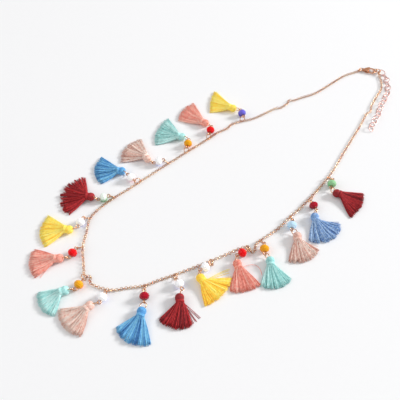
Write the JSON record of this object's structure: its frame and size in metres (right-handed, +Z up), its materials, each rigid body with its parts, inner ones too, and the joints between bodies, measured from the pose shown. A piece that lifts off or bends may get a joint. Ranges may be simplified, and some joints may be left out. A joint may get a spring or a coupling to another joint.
{
  "type": "tassel necklace",
  "caption": "Tassel necklace lying in a long loop: fine chain, faceted glass beads and fanned cotton tassels on rings, trigger clasp and an extender of oval links",
  "frame": {"origin": "middle of the bounding box on the surface that the necklace lies on", "axes": "+X along the loop towards the clasp, +Y across the loop, +Z up"},
  "size_m": [0.3332, 0.1648, 0.0064],
  "materials": {
    "rose_gold": "polished rose-gold plating",
    "rose_gold_pale": "paler rose-gold plating",
    "yarn_yellow": "fine cotton thread, matt with a slight sheen",
    "yarn_coral": "fine cotton thread, matt with a slight sheen",
    "yarn_mint": "fine cotton thread, matt with a slight sheen",
    "yarn_beige": "fine cotton thread, matt with a slight sheen",
    "yarn_blue": "fine cotton thread, matt with a slight sheen",
    "yarn_dark_red": "fine cotton thread, matt with a slight sheen",
    "glass_violet": "facet-cut glass, glossy",
    "glass_red": "facet-cut glass, glossy",
    "glass_orange": "facet-cut glass, glossy",
    "glass_white": "facet-cut glass, glossy, with a tinted rim",
    "glass_light_blue": "facet-cut glass, glossy",
    "glass_ruby": "facet-cut glass, glossy",
    "glass_green": "facet-cut glass, glossy"
  },
  "bodies": {
    "necklace": {"chain": "rose_gold", "jump_rings": "rose_gold", "eye_pins": "rose_gold", "tassel_rings": "rose_gold", "extender": "rose_gold_pale", "clasp_body": "rose_gold", "clasp_ring": "rose_gold", "hook_ring": "rose_gold", "junction_ring": "rose_gold", "bead_01": "glass_violet", "bead_02": "glass_red", "bead_03": "glass_orange", "bead_04": "glass_white", "bead_05": "glass_white", "bead_06": "glass_green", "bead_07": "glass_white", "bead_08": "glass_red", "bead_09": "glass_orange", "bead_10": "glass_white", "bead_11": "glass_ruby", "bead_12": "glass_white", "bead_13": "glass_white", "bead_14": "glass_red", "bead_15": "glass_orange", "bead_16": "glass_light_blue", "bead_17": "glass_ruby", "bead_18": "glass_green", "tassel_01": "yarn_yellow", "tassel_02": "yarn_coral", "tassel_03": "yarn_mint", "tassel_04": "yarn_beige", "tassel_05": "yarn_blue", "tassel_06": "yarn_dark_red", "tassel_07": "yarn_yellow", "tassel_08": "yarn_coral", "tassel_09": "yarn_mint", "tassel_10": "yarn_beige", "tassel_11": "yarn_blue", "tassel_12": "yarn_dark_red", "tassel_13": "yarn_yellow", "tassel_14": "yarn_coral", "tassel_15": "yarn_mint", "tassel_16": "yarn_beige", "tassel_17": "yarn_blue", "tassel_18": "yarn_dark_red"},
    "clasp_lever": {"clasp_lever": "rose_gold"}
  },
  "joints": [
    {"name": "lever_pivot", "type": "hinge", "parent": "necklace", "child": "clasp_lever", "pos_m": [0.15749, 0.02025, 0.00142], "axis": [0, 0, 1], "range_deg": [0, 35], "stiffness_Nm_per_rad": 0.002, "springref_deg": -5.73}
  ]
}
